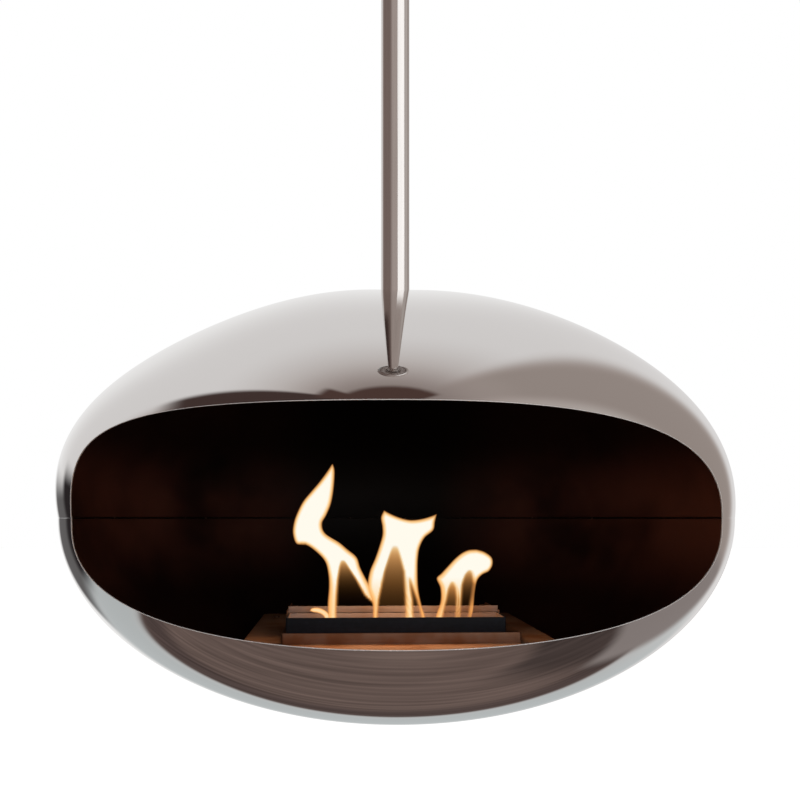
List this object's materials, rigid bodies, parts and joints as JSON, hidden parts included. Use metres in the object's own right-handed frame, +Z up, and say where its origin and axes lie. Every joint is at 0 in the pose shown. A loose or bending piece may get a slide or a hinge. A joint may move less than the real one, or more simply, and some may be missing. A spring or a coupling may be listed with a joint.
{
  "type": "hanging fireplace",
  "caption": "Hanging fireplace: a polished steel pod with a wide mouth, on a ceiling pole that lets it turn, with a liquid-fuel burner and sliding lid inside.",
  "frame": {"origin": "middle of the ceiling face of the ceiling plate, on the axis of the pole", "axes": "+Z up along the pole, the pod's mouth faces -Y, +X is to the right seen from in front of the mouth"},
  "size_m": [1.1451, 1.1279, 2.122],
  "materials": {
    "polished_steel": "stainless steel, mirror polished outside, satin black heat-proof coat inside",
    "brushed_steel": "stainless steel, brushed along its length",
    "machined_steel": "plain turned steel",
    "zinc_plate": "zinc plated, satin",
    "bronze": "plain bearing bronze",
    "burner_steel": "stainless sheet, fine brushed, lightly heat-tinted",
    "dark_steel": "satin dark coat",
    "ceramic_fibre": "white ceramic wool",
    "flame": "glowing and see-through, shown only in the visual model"
  },
  "bodies": {
    "ceiling_mount": {"ceiling_plate": "machined_steel", "bearing_housing": "machined_steel", "housing_screw_1": "zinc_plate", "housing_screw_2": "zinc_plate", "housing_screw_3": "zinc_plate", "housing_screw_4": "zinc_plate", "housing_bush": "bronze", "lower_race": "machined_steel", "ball_cage": "machined_steel", "ceiling_canopy": "brushed_steel", "canopy_screw_left": "zinc_plate", "canopy_screw_right": "zinc_plate"},
    "pod": {"upper_race": "machined_steel", "swivel_nut": "zinc_plate", "nut_pin": "zinc_plate", "swivel_stem": "machined_steel", "pole_top_plug": "brushed_steel", "pole_pin": "zinc_plate", "pole": "brushed_steel", "pole_collar": "brushed_steel", "collar_screw": "zinc_plate", "pole_foot_plug": "machined_steel", "upper_shell": "polished_steel", "lower_shell": "polished_steel", "seam_weld": "dark_steel", "top_doubler": "dark_steel", "pole_washer": "zinc_plate", "pole_bolt": "zinc_plate", "burner_platform": "burner_steel", "platform_post_1": "dark_steel", "platform_post_2": "dark_steel", "platform_post_3": "dark_steel", "platform_post_4": "dark_steel", "platform_screw_1": "zinc_plate", "platform_screw_2": "zinc_plate", "platform_screw_3": "zinc_plate", "platform_screw_4": "zinc_plate", "burner_casing": "burner_steel", "burner_tank": "burner_steel", "ceramic_wool": "ceramic_fibre", "burner_grate": "burner_steel", "slot_frame": "dark_steel", "lid_rail_left": "dark_steel", "lid_rail_right": "dark_steel", "rail_screw_1": "zinc_plate", "rail_screw_2": "zinc_plate", "rail_screw_3": "zinc_plate", "rail_screw_4": "zinc_plate"},
    "lid": {"burner_lid": "burner_steel"}
  },
  "joints": [
    {"name": "swivel", "type": "hinge", "parent": "ceiling_mount", "child": "pod", "pos_m": [0, 0, 0], "axis": [0, 0, 1], "continuous": true},
    {"name": "lid_slide", "type": "slide", "parent": "pod", "child": "lid", "axis": [0, -1, 0], "range_m": [0, 0.09]}
  ]
}
